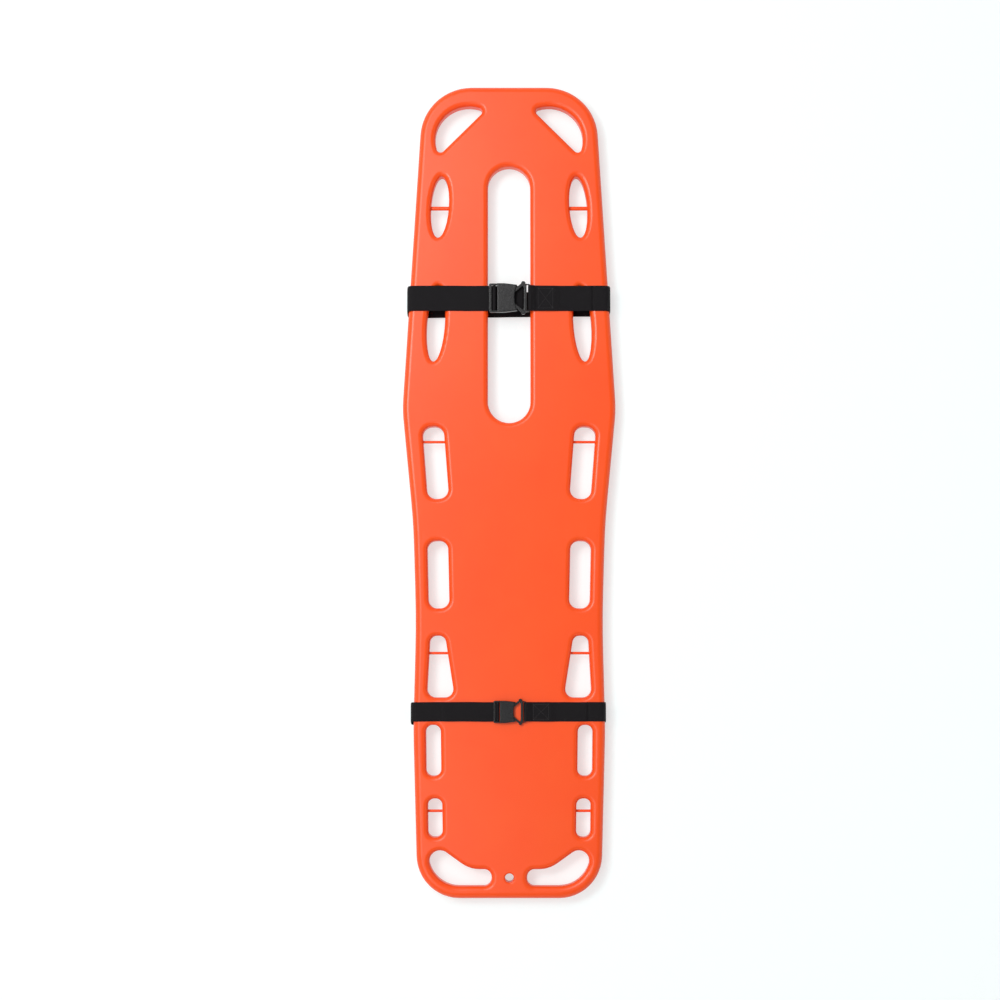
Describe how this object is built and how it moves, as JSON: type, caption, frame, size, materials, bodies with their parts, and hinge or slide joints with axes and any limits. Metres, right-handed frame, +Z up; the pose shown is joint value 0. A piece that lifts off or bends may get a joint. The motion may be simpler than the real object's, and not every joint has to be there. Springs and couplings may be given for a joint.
{
  "type": "spine board",
  "caption": "Long rounded rescue board with hand holes along both sides, a long head slot, and webbing straps closed by side-release buckles.",
  "frame": {"origin": "on the floor under the middle of the board", "axes": "+Z up, +Y towards the head end, +X to the right when seen from above with the head end up"},
  "size_m": [0.483, 1.84, 0.0633],
  "materials": {
    "board_plastic": "satin moulded polyethylene",
    "foam": "rigid foam",
    "tube": "glass-fibre tube",
    "webbing": "woven",
    "buckle_plastic": "moulded"
  },
  "bodies": {
    "board": {"board_shell": "board_plastic", "foam_core": "foam", "stiffener_left": "tube", "stiffener_right": "tube", "filling_plugs": "board_plastic", "head_pin_left": "board_plastic", "head_pin_right": "board_plastic", "hip_pin_left": "board_plastic", "hip_pin_right": "board_plastic", "knee_pin_left": "board_plastic", "knee_pin_right": "board_plastic", "ankle_pin_left": "board_plastic", "ankle_pin_right": "board_plastic", "chest_webbing": "webbing", "chest_receiver": "buckle_plastic", "leg_webbing": "webbing", "leg_receiver": "buckle_plastic"},
    "chest_plug": {"chest_tongue": "buckle_plastic"},
    "chest_headward_prong": {"chest_prong_headward": "buckle_plastic"},
    "chest_footward_prong": {"chest_prong_footward": "buckle_plastic"},
    "leg_plug": {"leg_tongue": "buckle_plastic"},
    "leg_headward_prong": {"leg_prong_headward": "buckle_plastic"},
    "leg_footward_prong": {"leg_prong_footward": "buckle_plastic"}
  },
  "joints": [
    {"name": "chest_plug_slide", "type": "slide", "parent": "board", "child": "chest_plug", "axis": [1, 0, 0], "range_m": [0, 0.045], "deforming": ["chest_webbing", "chest_prong_headward", "chest_prong_footward"]},
    {"name": "chest_headward_prong_flex", "type": "hinge", "parent": "chest_plug", "child": "chest_headward_prong", "pos_m": [0.0352, 0.45375, 0.0568], "axis": [0, 0, 1], "range_deg": [0, 7], "stiffness_Nm_per_rad": 0.5},
    {"name": "chest_footward_prong_flex", "type": "hinge", "parent": "chest_plug", "child": "chest_footward_prong", "pos_m": [0.0352, 0.40175, 0.0568], "axis": [0, 0, -1], "range_deg": [0, 7], "stiffness_Nm_per_rad": 0.5},
    {"name": "leg_plug_slide", "type": "slide", "parent": "board", "child": "leg_plug", "axis": [1, 0, 0], "range_m": [0, 0.0347], "deforming": ["leg_webbing", "leg_prong_headward", "leg_prong_footward"]},
    {"name": "leg_headward_prong_flex", "type": "hinge", "parent": "leg_plug", "child": "leg_headward_prong", "pos_m": [0.0271, -0.48689, 0.0558], "axis": [0, 0, 1], "range_deg": [0, 7], "stiffness_Nm_per_rad": 0.5},
    {"name": "leg_footward_prong_flex", "type": "hinge", "parent": "leg_plug", "child": "leg_footward_prong", "pos_m": [0.0271, -0.52693, 0.0558], "axis": [0, 0, -1], "range_deg": [0, 7], "stiffness_Nm_per_rad": 0.5}
  ]
}
